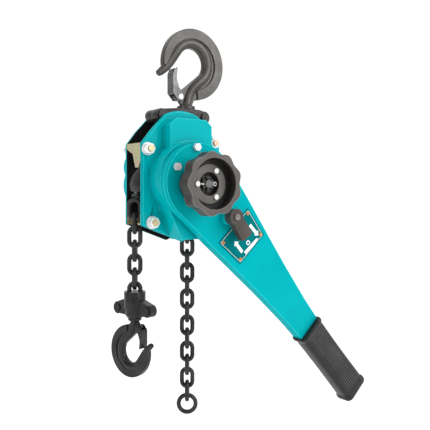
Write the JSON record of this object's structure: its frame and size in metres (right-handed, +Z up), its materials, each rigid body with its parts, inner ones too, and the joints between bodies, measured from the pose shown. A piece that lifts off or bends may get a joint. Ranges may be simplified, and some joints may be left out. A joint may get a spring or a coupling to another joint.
{
  "type": "lever chain hoist",
  "caption": "Lever chain hoist with stamped side plates, ratchet brake cover, handwheel, long pull lever with rubber grip, latched swivel hooks and link chain.",
  "frame": {"origin": "centre of the top hook's bowl, where the hoist hangs", "axes": "X across the side plates, Y along the drive shaft with the handwheel towards -Y, Z up"},
  "size_m": [0.377, 0.172, 0.5408],
  "materials": {
    "teal_paint": "glossy teal paint",
    "zinc_bright": "bright zinc plate",
    "zinc_gold": "yellow passivated zinc plate",
    "black_gloss": "glossy black",
    "yoke_steel": "dark oxide, satin",
    "hook_steel": "forged, satin",
    "latch_steel": "satin sheet steel",
    "rivet_white": "bright",
    "charcoal_steel": "blackened, satin",
    "wheel_grey": "satin dark grey",
    "knob_grey": "satin grey",
    "grip_rubber": "matt black",
    "label_teal": "printed teal",
    "rivet_orange": "copper coloured",
    "bare_steel": "machined, oiled",
    "lining": "friction lining",
    "bronze": "sintered bronze"
  },
  "bodies": {
    "frame": {"side_plate_front": "teal_paint", "side_plate_rear": "teal_paint", "stay_bolts": "zinc_gold", "stay_nuts": "zinc_bright", "stay_washers": "zinc_gold", "chain_guide_upper": "zinc_gold", "chain_guide_lower": "zinc_gold", "chain_guard": "black_gloss", "brake_cover": "teal_paint", "gear_case": "teal_paint", "case_screws": "zinc_bright", "sheave_bearings": "bare_steel", "gear_bushes": "bronze", "pawl_pins": "bare_steel", "pawl_springs": "bare_steel", "top_hook_pin": "bare_steel", "load_chain_upper": "charcoal_steel", "tail_chain_upper": "charcoal_steel"},
    "drive": {"drive_shaft": "bare_steel", "brake_hub": "bare_steel", "friction_discs": "lining", "change_gear": "bare_steel", "wheel_hub": "wheel_grey", "handwheel": "wheel_grey", "hub_disc": "wheel_grey", "hub_screws": "zinc_bright", "castle_nut": "wheel_grey", "cotter_pin": "zinc_bright"},
    "ratchet": {"ratchet_disc": "bare_steel"},
    "pawl_top": {"pawl_a": "bare_steel"},
    "pawl_side": {"pawl_b": "bare_steel"},
    "lever": {"lever_rear_shell": "teal_paint", "lever_front_shell": "teal_paint", "lever_bolts": "zinc_bright", "grip": "grip_rubber", "name_plate": "label_teal", "name_plate_rivets": "rivet_orange"},
    "selector": {"selector_shaft": "bare_steel", "change_pawl": "bare_steel", "selector_knob": "knob_grey", "knob_screw": "zinc_bright"},
    "gear_a": {"disc_gear_a": "bare_steel"},
    "gear_b": {"disc_gear_b": "bare_steel"},
    "sheave": {"load_sheave": "bare_steel", "load_gear": "bare_steel", "snap_ring": "bare_steel", "sheave_chain": "charcoal_steel"},
    "yoke": {"top_yoke_front": "yoke_steel", "top_yoke_rear": "yoke_steel", "yoke_bolts": "yoke_steel"},
    "top_hook": {"top_hook": "hook_steel", "latch_rivets_top": "rivet_white"},
    "top_latch": {"top_latch": "latch_steel"},
    "load_chain": {"load_chain": "charcoal_steel"},
    "tail_chain": {"tail_chain": "charcoal_steel"},
    "holder": {"hook_holder_a": "charcoal_steel", "hook_holder_b": "charcoal_steel", "holder_fasteners": "charcoal_steel"},
    "bottom_hook": {"bottom_hook": "charcoal_steel"},
    "bottom_latch": {"bottom_latch": "charcoal_steel"}
  },
  "joints": [
    {"name": "drive_turn", "type": "hinge", "parent": "frame", "child": "drive", "pos_m": [-0.04, 0, -0.167], "axis": [0, 1, 0], "continuous": true},
    {"name": "ratchet_turn", "type": "hinge", "parent": "frame", "child": "ratchet", "pos_m": [-0.04, 0, -0.167], "axis": [0, 1, 0], "continuous": true},
    {"name": "pawl_top_pivot", "type": "hinge", "parent": "frame", "child": "pawl_top", "pos_m": [-0.02965, 0, -0.12836], "axis": [0, -1, 0], "range_deg": [0, 12], "stiffness_Nm_per_rad": 0.05, "springref_deg": -17.19},
    {"name": "pawl_side_pivot", "type": "hinge", "parent": "frame", "child": "pawl_side", "pos_m": [-0.00136, 0, -0.17735], "axis": [0, -1, 0], "range_deg": [0, 12], "stiffness_Nm_per_rad": 0.05, "springref_deg": -17.19},
    {"name": "lever_swing", "type": "hinge", "parent": "frame", "child": "lever", "pos_m": [-0.04, 0, -0.167], "axis": [0, 1, 0], "continuous": true},
    {"name": "selector_turn", "type": "hinge", "parent": "lever", "child": "selector", "pos_m": [0.0138, 0, -0.2087], "axis": [0, 1, 0], "range_deg": [-14, 14]},
    {"name": "gear_a_turn", "type": "hinge", "parent": "frame", "child": "gear_a", "pos_m": [-0.05143, 0, -0.14248], "axis": [0, 1, 0], "continuous": true},
    {"name": "gear_b_turn", "type": "hinge", "parent": "frame", "child": "gear_b", "pos_m": [-0.02857, 0, -0.19152], "axis": [0, 1, 0], "continuous": true},
    {"name": "sheave_turn", "type": "hinge", "parent": "frame", "child": "sheave", "pos_m": [-0.04, 0, -0.167], "axis": [0, 1, 0], "continuous": true},
    {"name": "yoke_swing", "type": "hinge", "parent": "frame", "child": "yoke", "pos_m": [-0.007, 0, -0.088], "axis": [0, 1, 0], "range_deg": [-25, 25]},
    {"name": "top_hook_swivel", "type": "hinge", "parent": "yoke", "child": "top_hook", "pos_m": [-0.007, 0, -0.059], "axis": [0, 0, 1], "continuous": true},
    {"name": "top_latch_pivot", "type": "hinge", "parent": "top_hook", "child": "top_latch", "pos_m": [-0.02, 0, -0.0475], "axis": [0, 1, 0], "range_deg": [0, 35], "stiffness_Nm_per_rad": 0.1, "springref_deg": -17.19},
    {"name": "load_chain_swing", "type": "hinge", "parent": "frame", "child": "load_chain", "pos_m": [-0.0868, 0, -0.226], "axis": [0, 1, 0], "range_deg": [-4, 10]},
    {"name": "holder_swing", "type": "hinge", "parent": "load_chain", "child": "holder", "pos_m": [-0.0868, 0, -0.3119], "axis": [0.5878, 0.809, 0], "range_deg": [-6, 10]},
    {"name": "bottom_hook_swivel", "type": "hinge", "parent": "holder", "child": "bottom_hook", "pos_m": [-0.0868, 0, -0.3433], "axis": [0, 0, 1], "continuous": true},
    {"name": "bottom_latch_pivot", "type": "hinge", "parent": "bottom_hook", "child": "bottom_latch", "pos_m": [-0.08445, -0.00879, -0.35135], "axis": [0.9659, 0.2588, 0], "range_deg": [0, 35], "stiffness_Nm_per_rad": 0.03, "springref_deg": -17.19},
    {"name": "tail_chain_swing", "type": "hinge", "parent": "frame", "child": "tail_chain", "pos_m": [-0.0051, 0, -0.2418], "axis": [0, 1, 0], "range_deg": [-10, 4]}
  ],
  "couplings": [
    {"joint": "gear_a_turn", "follows": "drive_turn", "ratio": -0.38462},
    {"joint": "gear_b_turn", "follows": "drive_turn", "ratio": -0.38462},
    {"joint": "sheave_turn", "follows": "drive_turn", "ratio": 0.14793}
  ]
}
